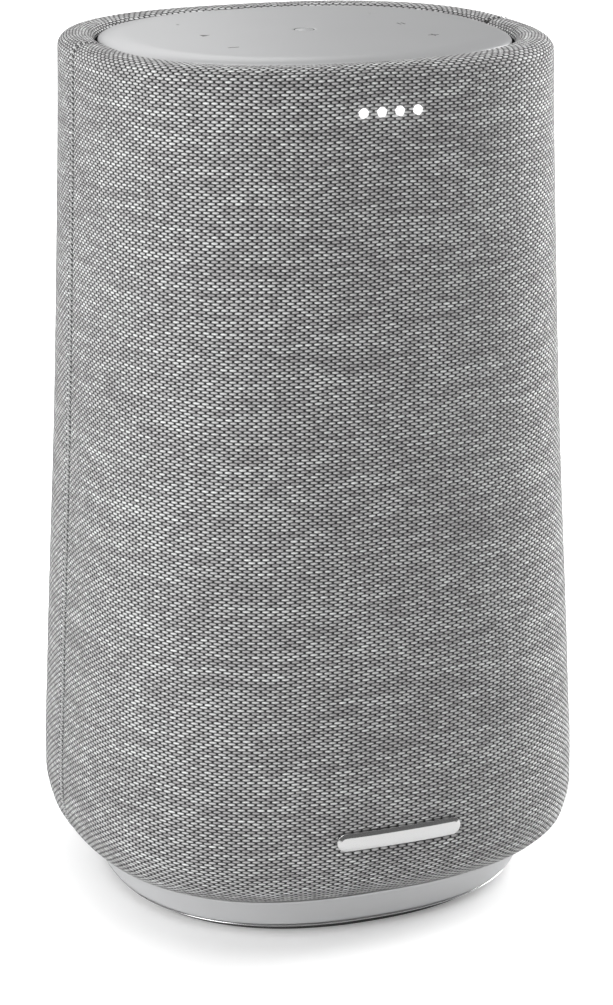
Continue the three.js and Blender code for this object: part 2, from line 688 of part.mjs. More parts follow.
function heatSink() {
  const top = MAIN_BOARD_BOTTOM - GAP;
  const fins = [];
  for (let x = 16; x <= 38; x += 4.4) {
    fins.push(box([x, -30, top - 13], [x + 1.4, -6, top - 1]));
  }
  return join(box([16, -30, top - 2.4], [39.4, -6, top]), ...fins);
}

part('amplifier_heat_sink', heatSink(), ALUMINIUM);
part('wireless_module', box(
  [-36, 8, MAIN_BOARD_BOTTOM - 2.9], [-18, 22, MAIN_BOARD_BOTTOM - GAP],
), STEEL);

// ---- Rear connector panel ----

const panelFront = depthAt(0, PANEL_Z, PANEL_INSET); // outer face at the middle

function inletCutter(clearance, low, high) {
  const [width, height] = [INLET_WIDTH + 2 * clearance, INLET_HEIGHT + 2 * clearance];
  return roundedBar(width, height, 3 + clearance, INLET_X, PANEL_Z, low, high);
}

function portCutter(clearance, low, high) {
  const grown = 2 * clearance;
  return roundedBar(9 + grown, 3.6 + grown, 1.2 + clearance, BUTTON_X, PORT_Z, low, high, 3);
}

function rearPanel() {
  const [low, high] = [PANEL_Z - PANEL_HEIGHT, PANEL_Z + PANEL_HEIGHT];
  const heights = wallHeights(low, high);
  const outside = heights.map((z) => [PANEL_INSET, z]);
  const inside = heights.map((z) => [PANEL_INSET + PANEL_THICK, z]).reverse();
  const wall = overlap(sweepRing([...outside, ...inside]), panelWindow(0));
  const buttonHole = cylinderY(BUTTON_RADIUS + 0.4, 30, 90, BUTTON_X, BUTTON_Z, 24);
  return cut(wall, inletCutter(GAP, 30, 90), portCutter(GAP, 30, 90), buttonHole);
}

function powerInlet() {
  const front = panelFront - 0.2;
  const back = front - 16;
  const floor = front - 10;
  const recess = roundedBar(PIN_SPACING + 8.4, 8.4, 4.19, INLET_X, PANEL_Z, floor, front + 1, 6);
  const pins = [-1, 1].map((side) => turned([
    [0, 0], [1.2, 0], [1.2, 9.3], [0.6, 10], [0, 10],
  ], floor - 1, PANEL_Z, 12, INLET_X + (side * PIN_SPACING) / 2));
  return join(cut(inletCutter(0, back, front), recess), ...pins);
}

const BUTTON_FACE = depthAt(BUTTON_X, BUTTON_Z, 0) + 0.1;
const BUTTON_FLANGE_FRONT = depthAt(BUTTON_X - 5, BUTTON_Z, PANEL_INSET + PANEL_THICK) - 0.5;
const BUTTON_BACK = BUTTON_FLANGE_FRONT - 1.4;
const BUTTON_LENGTH = BUTTON_FACE - BUTTON_BACK;
const BUTTON_TRAVEL = 0.8;
const SWITCH_TOP = BUTTON_BACK - BUTTON_TRAVEL - GAP;
const REAR_BOARD_FRONT = SWITCH_TOP - 4.6;

part('rear_panel', rearPanel(), BLACK_PLASTIC);
part('power_inlet', powerInlet(), BLACK_PLASTIC);
part('mute_button', turned([
  [0, 0], [BUTTON_RADIUS + 1.2, 0], [BUTTON_RADIUS + 1.2, 1.4], [BUTTON_RADIUS, 1.4],
  [BUTTON_RADIUS, BUTTON_LENGTH - 0.4], [BUTTON_RADIUS - 0.4, BUTTON_LENGTH], [0, BUTTON_LENGTH],
], BUTTON_BACK, BUTTON_Z, 24, BUTTON_X), GREY_PLASTIC);
part('mute_switch', join(
  box(
    [BUTTON_X - 3, REAR_BOARD_FRONT + GAP, BUTTON_Z - 3],
    [BUTTON_X + 3, SWITCH_TOP - 0.8, BUTTON_Z + 3],
  ),
  cylinderY(1.6, SWITCH_TOP - 1.5, SWITCH_TOP, BUTTON_X, BUTTON_Z, 14),
), STEEL);
part('service_port', cut(
  portCutter(0, REAR_BOARD_FRONT + GAP, depthAt(BUTTON_X - 5, PORT_Z, PANEL_INSET) - 0.5),
  roundedBar(7.4, 2.2, 0.6, BUTTON_X, PORT_Z, REAR_BOARD_FRONT + 5, 90, 2),
), STEEL);
part('rear_board', box([-26, REAR_BOARD_FRONT - 1.6, 19], [-4, REAR_BOARD_FRONT, 41]), BOARD_GREEN);

export default speaker;
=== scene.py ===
"""Looks for a fabric-covered smart speaker: the sewn cloth cover, touch plate, base, badge,
connector panel, and a material for every piece inside. Lengths are millimetres until a mesh is
made, and the frame is the CAD frame: +Z up, the front faces -Y."""

import json
import math
from contextlib import contextmanager

import bmesh
import bpy
import numpy as np
from mathutils import Matrix, Vector


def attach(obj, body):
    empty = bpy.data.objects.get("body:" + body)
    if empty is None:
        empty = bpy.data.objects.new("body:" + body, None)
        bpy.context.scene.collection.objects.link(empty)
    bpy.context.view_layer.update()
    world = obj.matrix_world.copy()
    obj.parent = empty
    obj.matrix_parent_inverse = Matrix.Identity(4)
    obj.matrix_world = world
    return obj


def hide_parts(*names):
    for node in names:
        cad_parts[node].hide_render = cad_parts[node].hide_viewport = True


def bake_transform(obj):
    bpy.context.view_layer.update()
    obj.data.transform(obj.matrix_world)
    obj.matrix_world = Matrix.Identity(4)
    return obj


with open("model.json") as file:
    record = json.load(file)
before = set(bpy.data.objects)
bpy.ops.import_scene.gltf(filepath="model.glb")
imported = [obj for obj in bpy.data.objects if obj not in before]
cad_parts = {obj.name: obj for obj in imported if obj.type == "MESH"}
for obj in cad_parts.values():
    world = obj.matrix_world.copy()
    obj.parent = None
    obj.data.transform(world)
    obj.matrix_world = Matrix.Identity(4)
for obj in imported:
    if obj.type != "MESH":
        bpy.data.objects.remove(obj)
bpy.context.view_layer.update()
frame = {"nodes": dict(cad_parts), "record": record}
NODES = frame["nodes"]

MM = 0.001
BODY = "cabinet"

# ---- The body's outer surface, as in the CAD ----

SIDE_PROFILE = np.array([
    (0, 56.9), (2.5, 57.8), (12, 61.6), (13.4, 64.4), (15, 66.6), (19, 70.0), (28, 71.8),
    (38, 71.7), (52, 71.0), (70, 70.2), (95, 68.9), (130, 67.1), (175, 65.3), (229, 63.6),
    (237, 63.5),
])
DEPTH_RATIO = 0.936
FLOOR_ROUNDNESS = 2.25
SIDE_ROUNDNESS = 2.57
PLATE_ROUNDNESS = 2.4
PLATE_LEVEL = 229.0

MIDDLE_Z = 134.0
RIM_TOP = 236.0
PLATE_TOP = 236.6
PLATE_INSET = 9.8
PLATE_SHOULDER = 8.0
PLATE_DROP = 2.4
PLATE_THICKNESS = 2.6
ROLL_START = 232.2
ROLL_WIDTH = 4.0
BEAD_TOP = 3.0
BASE_TOP = 11.7
SEAM_Y = 4.0

LIGHT_Z = 224.3
LIGHT_PITCH = 4.9
LIGHT_ROW_X = -0.5
LIGHT_COUNT = 4

BADGE_Z = 32.0
BADGE_LENGTH = 35.7
BADGE_HEIGHT = 5.0

MARK_X = 28.0
MARK_Y = 21.4
BAR = 0.42
DISC_HOLE = 2.8
MIC_RADIUS = 0.45

PANEL_Z = 30.0
PANEL_WIDTH = 44.0
PANEL_HEIGHT = 24.0
PANEL_CORNER = 5.0
PANEL_INSET = 0.6
INLET_X = 8.5
INLET_WIDTH = 20.0
INLET_HEIGHT = 13.0
BUTTON_X = -13.0
BUTTON_Z = 34.5
BUTTON_RADIUS = 3.4
PORT_Z = 24.0

FULL_TURN = 2 * math.pi


def monotone_slopes(x, y):
    step = np.diff(y) / np.diff(x)
    slope = np.zeros(len(y))
    before, after = step[:-1], step[1:]
    same = before * after > 0
    slope[1:-1][same] = 2 * before[same] * after[same] / (before[same] + after[same])
    slope[0], slope[-1] = step[0], step[-1]
    return slope


PROFILE_SLOPES = monotone_slopes(SIDE_PROFILE[:, 0], SIDE_PROFILE[:, 1])


def half_width(z):
    """The body's half-width at height z: a smooth curve through the side profile."""
    x, y, slope = SIDE_PROFILE[:, 0], SIDE_PROFILE[:, 1], PROFILE_SLOPES
    z = np.clip(np.asarray(z, float), x[0], x[-1])
    k = np.clip(np.searchsorted(x, z) - 1, 0, len(x) - 2)
    span = x[k + 1] - x[k]
    t = (z - x[k]) / span
    start = (1 + 2 * t) * (1 - t) ** 2 * y[k] + t * (1 - t) ** 2 * span * slope[k]
    end = t * t * (3 - 2 * t) * y[k + 1] - t * t * (1 - t) * span * slope[k + 1]
    return start + end


def roundness(z, inset):
    """The section's exponent: 2 would be an ellipse, and more is squarer."""
    side = FLOOR_ROUNDNESS + (SIDE_ROUNDNESS - FLOOR_ROUNDNESS) * min(z / BASE_TOP, 1)
    if z < PLATE_LEVEL:
        return side
    return side + (PLATE_ROUNDNESS - side) * min(max(inset / PLATE_INSET, 0), 1)


def outline(z, inset, angle):
    """Points of the body's section at height z, a given inset inside its surface."""
    a = half_width(z) - inset
    b = half_width(z) * DEPTH_RATIO - inset
    n = roundness(z, inset)
    c, s = np.cos(angle), np.sin(angle)
    reach = (np.abs(c / a) ** n + np.abs(s / b) ** n) ** (-1 / n)
    return np.stack([reach * c, reach * s], axis=-1)


def outline_row(z, inset, fractions, start, end):
    """The section from angle start to angle end, at even shares of its length."""
    angles = np.linspace(start, end, 1441)
    points = outline(z, inset, angles)
    length = np.concatenate([[0], np.cumsum(np.linalg.norm(np.diff(points, axis=0), axis=1))])
    at = np.interp(np.asarray(fractions) * length[-1], length, angles)
    row = outline(z, inset, at)
    return np.column_stack([row, np.full(len(row), z)]), length[-1]


def depth_at(x, z, inset=0.0):
    """Distance from the middle plane to the surface along Y."""
    n = roundness(float(np.mean(z)), inset)
    a = half_width(z) - inset
    b = half_width(z) * DEPTH_RATIO - inset
    return b * (1 - np.minimum(np.abs(x) / a, 1) ** n) ** (1 / n)


# ---- The cover's two panels meet at a seam on each side ----


def seam_angle(z, inset):
    """The right-hand seam's angle round the body. The left one mirrors it."""
    a = half_width(z) - inset
    b = half_width(z) * DEPTH_RATIO - inset
    n = roundness(z, inset)
    return math.atan2(SEAM_Y, a * (1 - (SEAM_Y / b) ** n) ** (1 / n))


def panel_span(front, z, inset):
    turn = seam_angle(z, inset)
    if front:
        return math.pi - turn, FULL_TURN + turn
    return turn, math.pi - turn


def panel_width(front):
    """A panel's flat width: the length round the outer face at mid-height."""
    return outline_row(MIDDLE_Z, 0, [0], *panel_span(front, MIDDLE_Z, 0))[1]


# ---- Meshes ----

ROUND = 256  # points round a ring that follows the body


def new_object(name, vertices, faces, smooth=True):
    mesh = bpy.data.meshes.new(name)
    mesh.from_pydata([tuple(v) for v in np.asarray(vertices, float) * MM], [], faces)
    mesh.update()
    if smooth:
        mesh.shade_smooth()
    obj = bpy.data.objects.new(name, mesh)
    bpy.context.scene.collection.objects.link(obj)
    return obj


def grid_faces(rows, columns, close_rows=False, close_columns=False):
    faces = []
    for r in range(rows if close_rows else rows - 1):
        for c in range(columns if close_columns else columns - 1):
            d, e = (r + 1) % rows, (c + 1) % columns
            faces.append((r * columns + c, r * columns + e, d * columns + e, d * columns + c))
    return faces


def prism_faces(count):
    """Sides and two ends, for an outline's low points and then its high points."""
    sides = [(i, (i + 1) % count, count + (i + 1) % count, count + i) for i in range(count)]
    return sides + [tuple(range(count)), tuple(range(2 * count - 1, count - 1, -1))]


def set_uv(obj, name, values):
    layer = obj.data.uv_layers.new(name=name)
    loops = np.zeros(len(obj.data.loops), int)
    obj.data.loops.foreach_get("vertex_index", loops)
    layer.data.foreach_set("uv", np.asarray(values, np.float32)[loops].ravel())


@contextmanager
def editing(obj):
    work = bmesh.new()
    work.from_mesh(obj.data)
    yield work
    work.to_mesh(obj.data)
    work.free()


def face_outward(obj):
    with editing(obj) as work:
        bmesh.ops.recalc_face_normals(work, faces=work.faces)
    return obj


def apply_modifiers(obj):
    evaluated = obj.evaluated_get(bpy.context.evaluated_depsgraph_get())
    mesh = bpy.data.meshes.new_from_object(evaluated)
    obj.modifiers.clear()
    obj.data = mesh
    return obj


def cut(obj, *cutters, operation="DIFFERENCE"):
    for cutter in cutters:
        modifier = obj.modifiers.new("cut", "BOOLEAN")
        modifier.operation = operation
        modifier.solver = "EXACT"
        modifier.object = cutter
        apply_modifiers(obj)
        bpy.data.objects.remove(cutter)
    return obj


def swept_ring(name, profile, count=ROUND):
    """A closed ring round the body, from a closed profile of (inset, z)."""
    shares = np.arange(count) / count
    rows = [outline_row(z, inset, shares, 0, FULL_TURN)[0] for inset, z in profile]
    faces = grid_faces(len(profile), count, close_rows=True, close_columns=True)
    return face_outward(new_object(name, np.concatenate(rows), faces))


def arc(centre, width, height, start, end, steps):
    """Points of an ellipse's arc, from angle start to end in degrees."""
    angles = np.radians(np.linspace(start, end, steps + 1))
    return [(centre[0] + width * math.cos(t), centre[1] + height * math.sin(t)) for t in angles]


def circle(centre, radius, count):
    return arc(centre, radius, radius, 0, 360 - 360 / count, count - 1)


def rounded_box_outline(width, height, radius, x, z, steps=8):
    w, h = width / 2 - radius, height / 2 - radius
    corners = [(w, h, 0), (-w, h, 90), (-w, -h, 180), (w, -h, 270)]
    return [
        point
        for cx, cz, turn in corners
        for point in arc((x + cx, z + cz), radius, radius, turn, turn + 90, steps)
    ]


def prism(name, points, low, high):
    """A closed prism over an outline in the XZ plane, between two places along Y."""
    vertices = [(x, low, z) for x, z in points] + [(x, high, z) for x, z in points]
    return face_outward(new_object(name, vertices, prism_faces(len(points)), smooth=False))


def crease(obj, degrees=32):
    """Smooth shading with sharp edges where the surface turns by more than the given angle."""
    limit = math.radians(degrees)
    with editing(obj) as work:
        for face in work.faces:
            face.smooth = True
        for edge in work.edges:
            edge.smooth = len(edge.link_faces) == 2 and edge.calc_face_angle(0) < limit
    return obj


def join_objects(name, objects):
    """One object from several, each with one material."""
    bpy.ops.object.select_all(action="DESELECT")
    for obj in objects:
        obj.select_set(True)
    bpy.context.view_layer.objects.active = objects[0]
    bpy.ops.object.join()
    objects[0].name = name
    objects[0].data.name = name
    return objects[0]


# ---- Shader nodes with arithmetic ----


class Value:
    """A number worked out over the surface."""

    def __init__(self, shade, socket):
        self.shade, self.socket = shade, socket

    def math(self, operation, *others):
        node = self.shade.add("ShaderNodeMath", operation=operation)
        for i, value in enumerate([self, *others]):
            self.shade.feed(node.inputs[i], value)
        return Value(self.shade, node.outputs[0])

    def __add__(self, other):
        return self.math("ADD", other)

    def __sub__(self, other):
        return self.math("SUBTRACT", other)

    def __mul__(self, other):
        return self.math("MULTIPLY", other)

    def __truediv__(self, other):
        return self.math("DIVIDE", other)

    def __neg__(self):
        return self.math("MULTIPLY", -1)

    __radd__ = __add__
    __rmul__ = __mul__

    def __rsub__(self, other):
        return (-self).math("ADD", other)

    def floor(self):
        return self.math("FLOOR")

    def fract(self):
        return self.math("FRACT")

    def abs(self):
        return self.math("ABSOLUTE")

    def sin(self):
        return self.math("SINE")

    def root(self):
        return self.math("MAXIMUM", 0).math("SQRT")

    def larger(self, other):
        return self.math("MAXIMUM", other)

    def smaller(self, other):
        return self.math("MINIMUM", other)

    def ramp(self, low, high, start=0.0, end=1.0):
        """Goes smoothly from start to end as the number goes from low to high."""
        node = self.shade.add("ShaderNodeMapRange", interpolation_type="SMOOTHSTEP")
        for i, value in enumerate([self, low, high, start, end]):
            self.shade.feed(node.inputs[i], value)
        return Value(self.shade, node.outputs[0])


class Shade:
    """One material and its nodes."""

    def __init__(self, name):
        self.material = bpy.data.materials.new(name)
        self.material.use_nodes = True
        self.tree = self.material.node_tree
        self.surface = self.tree.nodes["Principled BSDF"]

    def add(self, kind, **settings):
        node = self.tree.nodes.new(kind)
        for key, value in settings.items():
            setattr(node, key, value)
        return node

    def feed(self, socket, value):
        if isinstance(value, Value):
            self.tree.links.new(value.socket, socket)
        elif hasattr(value, "is_output"):
            self.tree.links.new(value, socket)
        else:
            socket.default_value = value

    def set(self, **sockets):
        """Sets the surface's sockets. An underscore in a name stands for a space."""
        for key, value in sockets.items():
            self.feed(self.surface.inputs[key.replace("_", " ")], value)
        return self

    def place(self):
        """X, Y and Z in millimetres."""
        node = self.add("ShaderNodeSeparateXYZ")
        coordinates = self.add("ShaderNodeTexCoord")
        self.tree.links.new(coordinates.outputs["Object"], node.inputs[0])
        return [Value(self, output) * (1 / MM) for output in node.outputs]

    def uv(self, name, scale):
        node = self.add("ShaderNodeSeparateXYZ")
        self.tree.links.new(self.add("ShaderNodeUVMap", uv_map=name).outputs[0], node.inputs[0])
        return [Value(self, output) * scale for output in node.outputs[:2]]

    def vector(self, x, y=0.0, z=0.0):
        node = self.add("ShaderNodeCombineXYZ")
        for i, value in enumerate((x, y, z)):
            self.feed(node.inputs[i], value)
        return node.outputs[0]

    def noise(self, at, scale=1.0, detail=2.0, roughness=0.5):
        node = self.add("ShaderNodeTexNoise")
        self.feed(node.inputs["Vector"], at)
        node.inputs["Scale"].default_value = scale
        node.inputs["Detail"].default_value = detail
        node.inputs["Roughness"].default_value = roughness
        return Value(self, node.outputs["Fac"])

    def random(self, at):
        node = self.add("ShaderNodeTexWhiteNoise", noise_dimensions="3D")
        self.feed(node.inputs["Vector"], at)
        return Value(self, node.outputs["Value"])

    def mix(self, share, first, second):
        node = self.add("ShaderNodeMix", data_type="RGBA")
        self.feed(node.inputs[0], share)
        self.feed(node.inputs[6], first)
        self.feed(node.inputs[7], second)
        return node.outputs[2]

    def bump(self, height, distance_mm, strength=1.0):
        node = self.add("ShaderNodeBump")
        node.inputs["Strength"].default_value = strength
        node.inputs["Distance"].default_value = distance_mm * MM
        self.feed(node.inputs["Height"], height)
        self.tree.links.new(node.outputs[0], self.surface.inputs["Normal"])
        return self


def grey(level, tint=(1.0, 1.0, 1.0)):
    return tuple(level * t for t in tint) + (1.0,)


# ---- Materials ----

WARP_PITCH = 1.21
WEFT_PITCH = 0.765
WARP_WIDTH = 0.27
WANDER = 1.2  # how far the rows and columns stray from straight
UV_SCALE = 100.0  # the weave's UV map is in tenths of a metre
NEUTRAL = (1.0, 1.0, 1.005)
WARM = (1.01, 0.985, 1.0)
COOL = (0.99, 1.005, 1.0)
WHITE = (1, 1, 1, 1)


def light_places():
    middle = (LIGHT_COUNT - 1) / 2
    return [LIGHT_ROW_X + (i - middle) * LIGHT_PITCH for i in range(LIGHT_COUNT)]


def yarn_height(phase, across, slub):
    """Height of a weft yarn over the middle of the cloth. It floats over every other warp."""
    off_centre = (phase.fract() - 0.5).abs() * 2.0  # 0 where it is highest, 1 where it dives
    girth = 0.55 - off_centre * off_centre * 0.26 + slub * 0.14
    reach = across / girth
    crown = (1.0 - reach * reach).root()
    arch = 1.0 - off_centre * off_centre * 0.62
    return crown * arch * off_centre.ramp(0.66, 0.96, 1.0, 0.0)


def weave_fabric(name, front):
    """Plain weave: a thick light weft with slubs over a thin dark warp. The gaps and the low warp
    are darkened by painted shade that follows the yarns' height.
    """
    m = Shade(name)
    u, v = m.uv("weave", UV_SCALE)
    from_seam = u.smaller(panel_width(front) - u)
    u = u + (m.noise(m.vector(u * 0.05, v * 0.05), detail=1) - 0.5) * WANDER
    v = v + (m.noise(m.vector(u * 0.05, v * 0.02, 7.0), detail=1) - 0.5) * WANDER
    row = (v / WEFT_PITCH).floor()
    across = (v / WEFT_PITCH).fract() - 0.5
    column = u / WARP_PITCH + (m.noise(m.vector(u * 0.35, row * 5.1), detail=1) - 0.5) * 0.30
    side = across.math("SIGN")
    slub = m.noise(m.vector(u * 0.12, row * 3.7), detail=2) - 0.5
    near = yarn_height((column + row) * 0.5, across, slub)
    beyond = yarn_height((column + row + 1.0) * 0.5, across - side, slub)
    weft = near.larger(beyond)

    to_warp = ((column + row) * 0.5 + 0.5).fract() - 0.5
    beside = to_warp.abs() * (2 * WARP_PITCH / WARP_WIDTH)
    warp = (1.0 - beside * beside).root() * 0.22 - 0.10
    fuzz = m.noise(m.vector(u * 6.0, v * 9.0), detail=3, roughness=0.7) - 0.5
    height = weft.larger(warp) + fuzz * 0.14

    pair = (column + row) * 0.5
    each = m.random(m.vector(pair - pair.fract(), row))  # one float of a yarn to the next
    streak = m.noise(m.vector(u * 0.035, row * 2.3, 3.0), detail=2, roughness=0.6)
    cloud = m.noise(m.vector(u * 0.025, v * 0.12, 11.0), detail=2)
    # Long stretches of a yarn vary most, then single fibres, and broad patches least.
    tone = streak * 0.60 + cloud * 0.06 + each * 0.18 + slub * 0.12 + fuzz * 0.55
    yarn = m.mix(tone.ramp(0.26, 0.70), grey(0.44, WARM), grey(0.97, COOL))
    # Painted shade: the colour goes nearly black where the yarns sink, in the gaps and over the
    # warp, and darker near each panel's edge, where the cloth turns into the seam.
    outside_painted_shade = height.ramp(0.12, 0.92) * from_seam.ramp(0.6, 1.5, 0.04, 1.0)
    colour = m.mix(outside_painted_shade, grey(0.015, NEUTRAL), yarn)
    m.set(Base_Color=colour, Roughness=0.72, Specular_IOR_Level=0.35)
    m.set(Sheen_Weight=0.15, Sheen_Roughness=0.45)
    m.bump(height, 0.95)
    if front:  # the lights show through as a glow of the cloth in front of them
        x, y, z = m.place()
        glow = 0.0
        for place in light_places():
            away = ((x - place) * (x - place) + (z - LIGHT_Z) * (z - LIGHT_Z)).root()
            core = away.ramp(1.12, 1.42, 1.0, 0.0)
            halo = away.ramp(1.0, 2.6, 0.10, 0.0)
            glow = core + halo + glow
        glow = glow * y.ramp(-30, -40) * (0.85 + 0.15 * outside_painted_shade)
        m.set(Emission_Color=WHITE, Emission_Strength=glow * 1.3)
    return m.material


def satin_metal(name, colour, metallic, roughness, flake=0.10):
    m = Shade(name)
    x, y, z = m.place()
    grain = m.noise(m.vector(x, y, z), scale=9.0, detail=3, roughness=0.6)
    soft = m.noise(m.vector(x, y, z), scale=0.03, detail=1)
    cool = (0.995, 1.0, 1.012)
    tone = m.mix(grain * 0.5 + soft * 0.5, grey(0.955 * colour, cool), grey(1.045 * colour, cool))
    m.set(Base_Color=tone, Metallic=metallic, Roughness=roughness + (grain - 0.5) * flake)
    m.bump(grain, 0.012, 0.6)
    return m.material


def polished_metal(name, colour, roughness):
    m = Shade(name)
    x, y, z = m.place()
    scratch = m.noise(m.vector(x * 0.4, y * 6.0, z * 9.0), scale=1.5, detail=3)
    tone = m.mix(scratch, grey(colour * 0.95), grey(colour))
    gloss = scratch.ramp(0.3, 0.8, roughness * 0.8, roughness * 1.3)
    m.set(Base_Color=tone, Metallic=1.0, Roughness=gloss)
    return m.material


def moulded_plastic(name, colour, roughness=0.5, texture=0.03, tint=(1, 1, 1.02)):
    m = Shade(name)
    x, y, z = m.place()
    grain = m.noise(m.vector(x, y, z), scale=2.6, detail=3, roughness=0.55)
    broad = m.noise(m.vector(x, y, z), scale=0.08, detail=2)
    tone = m.mix(broad, grey(colour * 0.92, tint), grey(colour * 1.08, tint))
    m.set(Base_Color=tone, Roughness=roughness + (grain - 0.5) * 0.14)
    m.bump(grain, texture, 0.5)
    return m.material


def rubber(name, colour):
    m = Shade(name)
    x, y, z = m.place()
    grain = m.noise(m.vector(x, y, z), scale=3.0, detail=4, roughness=0.7)
    tone = m.mix(grain, grey(colour * 0.6), grey(colour * 1.4))
    m.set(Base_Color=tone, Roughness=grain.ramp(0.3, 0.7, 0.7, 0.95))
    m.bump(grain, 0.05, 0.5)
    return m.material


def milky_plastic(name):
    m = Shade(name)
    x, y, z = m.place()
    cloud = m.noise(m.vector(x, y, z), scale=0.8, detail=2)
    tone = m.mix(cloud, grey(0.62), grey(0.72))
    m.set(Base_Color=tone, Roughness=cloud.ramp(0.2, 0.8, 0.22, 0.34))
    return m.material


def plated_steel(name):
    m = Shade(name)
    x, y, z = m.place()
    lines = m.noise(m.vector(x * 5, y * 0.5, z * 5), scale=1.2, detail=3)
    tone = m.mix(lines, grey(0.50), grey(0.66))
    m.set(Base_Color=tone, Metallic=1.0, Roughness=lines.ramp(0.2, 0.8, 0.28, 0.46))
    m.bump(lines, 0.01, 0.5)
    return m.material


def sintered(name):
    m = Shade(name)
    x, y, z = m.place()
    grain = m.noise(m.vector(x, y, z), scale=1.4, detail=5, roughness=0.75)
    tone = m.mix(grain, grey(0.02), grey(0.075))
    m.set(Base_Color=tone, Roughness=grain.ramp(0.3, 0.7, 0.45, 0.8))
    m.bump(grain, 0.06, 0.6)
    return m.material


def wound_copper(name):
    m = Shade(name)
    _, y, _ = m.place()
    turns = (y * (FULL_TURN / 0.32)).sin() * 0.5 + 0.5
    # Painted shade: darker in the grooves between the turns, lighter on their crowns.
    tone = m.mix(turns, (0.16, 0.045, 0.015, 1), (0.80, 0.36, 0.18, 1))
    m.set(Base_Color=tone, Metallic=0.85, Roughness=turns.ramp(0, 1, 0.5, 0.25))
    m.bump(turns, 0.08, 0.9)
    return m.material


def circuit_board(name):
    m = Shade(name)
    x, y, z = m.place()
    fine = m.random(m.vector((x * 0.8).floor(), (y * 0.5).floor(), (z * 0.8).floor()))
    lane = ((x + y + z) * 1.1).fract().ramp(0.40, 0.52) * fine.ramp(0.45, 0.5)
    pad = m.random(m.vector((x * 0.55).floor(), (y * 0.55).floor(), (z * 0.55).floor()))
    copper = pad.ramp(0.955, 0.96)
    mask = m.mix(lane, (0.010, 0.085, 0.035, 1), (0.020, 0.150, 0.060, 1))
    m.set(Base_Color=m.mix(copper, mask, (0.75, 0.62, 0.38, 1)), Metallic=copper)
    m.set(Roughness=copper.ramp(0, 1, 0.42, 0.3))
    m.bump(lane, 0.03, 0.5)
    return m.material


def pressed_paper(name):
    m = Shade(name)
    x, y, z = m.place()
    fibres = m.noise(m.vector(x * 2.0, y, z * 2.0), scale=1.6, detail=6, roughness=0.75)
    tone = m.mix(fibres, grey(0.010), grey(0.060))
    m.set(Base_Color=tone, Roughness=fibres.ramp(0.3, 0.7, 0.6, 0.9))
    m.bump(fibres, 0.12, 0.7)
    return m.material


def stiff_cloth(name):
    m = Shade(name)
    x, _, z = m.place()
    weave = (x * 7.0).sin() * (z * 7.0).sin() * 0.5 + 0.5
    # Painted shade: darker where the weave sinks, lighter on its crowns.
    tone = m.mix(weave, (0.20, 0.095, 0.025, 1), (0.50, 0.27, 0.09, 1))
    m.set(Base_Color=tone, Roughness=weave.ramp(0, 1, 0.9, 0.7))
    m.bump(weave, 0.10, 0.8)
    return m.material


def brushed_aluminium(name):
    m = Shade(name)
    x, y, z = m.place()
    lines = m.noise(m.vector(x * 0.4, y * 8.0, z * 8.0), scale=1.2, detail=4)
    tone = m.mix(lines, grey(0.55), grey(0.72))
    m.set(Base_Color=tone, Metallic=1.0, Roughness=lines.ramp(0.2, 0.8, 0.26, 0.42))
    m.bump(lines, 0.01, 0.5)
    return m.material


def printed_mark(name):
    m = Shade(name)
    x, y, z = m.place()
    speck = m.noise(m.vector(x, y, z), scale=4.0, detail=2)
    m.set(Base_Color=m.mix(speck, grey(0.05), grey(0.09)))
    m.set(Roughness=speck.ramp(0.3, 0.7, 0.5, 0.65))
    return m.material


def thread(name):
    m = Shade(name)
    _, y, z = m.place()
    twist = ((y * 1.3 + z * 2.2) * 4.0).sin() * 0.5 + 0.5
    # Painted shade: darker in the grooves of the twist, lighter on its ridges.
    m.set(Base_Color=m.mix(twist, grey(0.28), grey(0.66)), Roughness=twist.ramp(0, 1, 0.95, 0.8))
    m.bump(twist, 0.06, 0.8)
    return m.material


MATERIALS = {
    "fabric_grey": weave_fabric("cover_weave_rear", False),
    "satin_silver": satin_metal("plate_satin", 0.46, 0.38, 0.34),
    "base_grey": satin_metal("base_satin", 0.60, 0.30, 0.42),
    "polished_metal": polished_metal("polished_metal", 0.66, 0.18),
    "rubber_black": rubber("rubber", 0.025),
    "black_plastic": moulded_plastic("black_moulding", 0.022, 0.55),
    "grey_plastic": moulded_plastic("grey_moulding", 0.16, 0.48),
    "clear_plastic": milky_plastic("light_plastic"),
    "cone_black": pressed_paper("cone_paper"),
    "steel": plated_steel("plated_steel"),
    "ferrite": sintered("ferrite"),
    "copper": wound_copper("coil_copper"),
    "aluminium": brushed_aluminium("brushed_aluminium"),
    "board_green": circuit_board("circuit_board"),
    "amber_cloth": stiff_cloth("spider_cloth"),
}
LIT_WEAVE = weave_fabric("cover_weave_front", True)


def give(obj, material):
    obj.data.materials.clear()
    obj.data.materials.append(material)
    for polygon in obj.data.polygons:
        polygon.material_index = 0
    return obj


def finish_piece(obj, slot, body=BODY, replaces=(), material=None):
    give(obj, material or MATERIALS[slot])
    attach(obj, body)
    if replaces:
        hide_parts(*replaces)
    return obj


for entry in frame["record"]["subparts"]:
    give(NODES[entry["node"]], MATERIALS[entry["material_slot"]])

# ---- Camera, first, because the view is fixed by the frame ----

CAMERA_AZIMUTH = math.radians(-21.751)
CAMERA_TURN = math.radians(-21.794)
CAMERA_PITCH = math.radians(17.247)
CAMERA_ROLL = math.radians(-0.128)
CAMERA_DISTANCE = 0.8137
CAMERA_HEIGHT = 0.3577
SENSOR = 36.0
LENS = 109.75
SHIFT = -0.001


